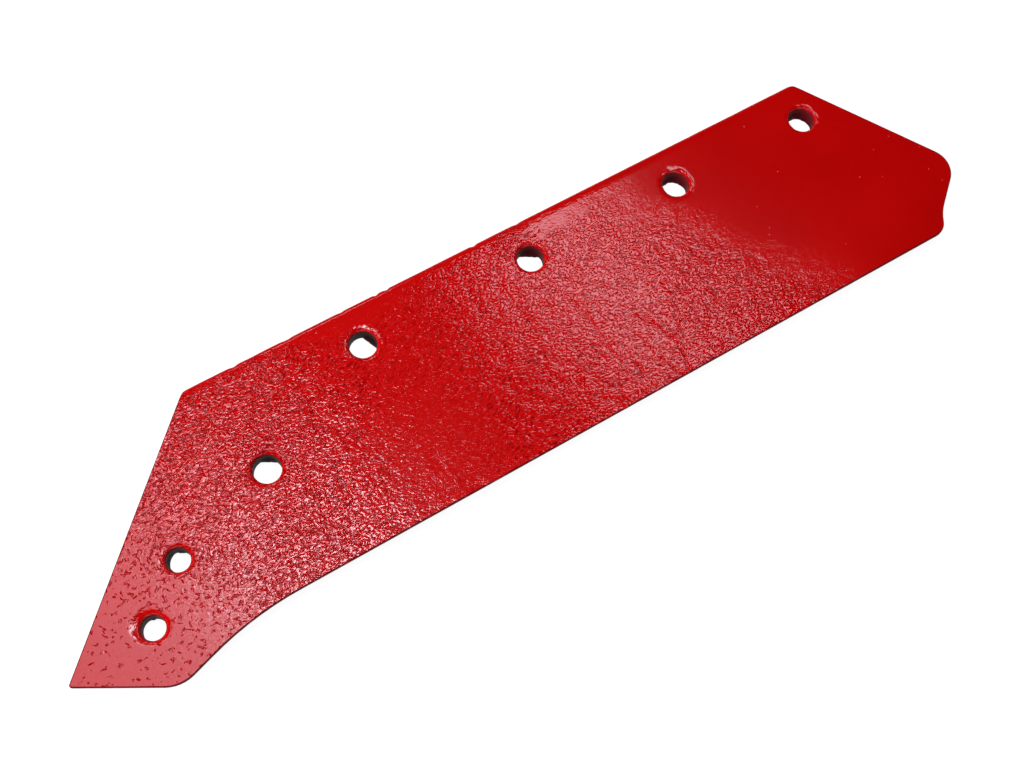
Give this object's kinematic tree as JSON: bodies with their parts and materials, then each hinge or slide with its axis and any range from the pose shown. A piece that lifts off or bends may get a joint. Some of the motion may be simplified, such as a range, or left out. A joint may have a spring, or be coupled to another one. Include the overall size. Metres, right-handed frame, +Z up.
{
  "type": "plough share",
  "caption": "Flat plough share with a beaked point, a stepped wing, a bevel ground on its back and punched bolt holes.",
  "frame": {"origin": "middle of the plate's box, on the back face that it lies on", "axes": "+X along the blade from the point to the wing, +Y across it to the mounting edge, +Z up through the wear face"},
  "size_m": [0.5, 0.121, 0.009],
  "materials": {
    "share_paint": "gloss red paint over rough rolled steel"
  },
  "bodies": {
    "root": {"share": "share_paint"}
  },
  "joints": []
}
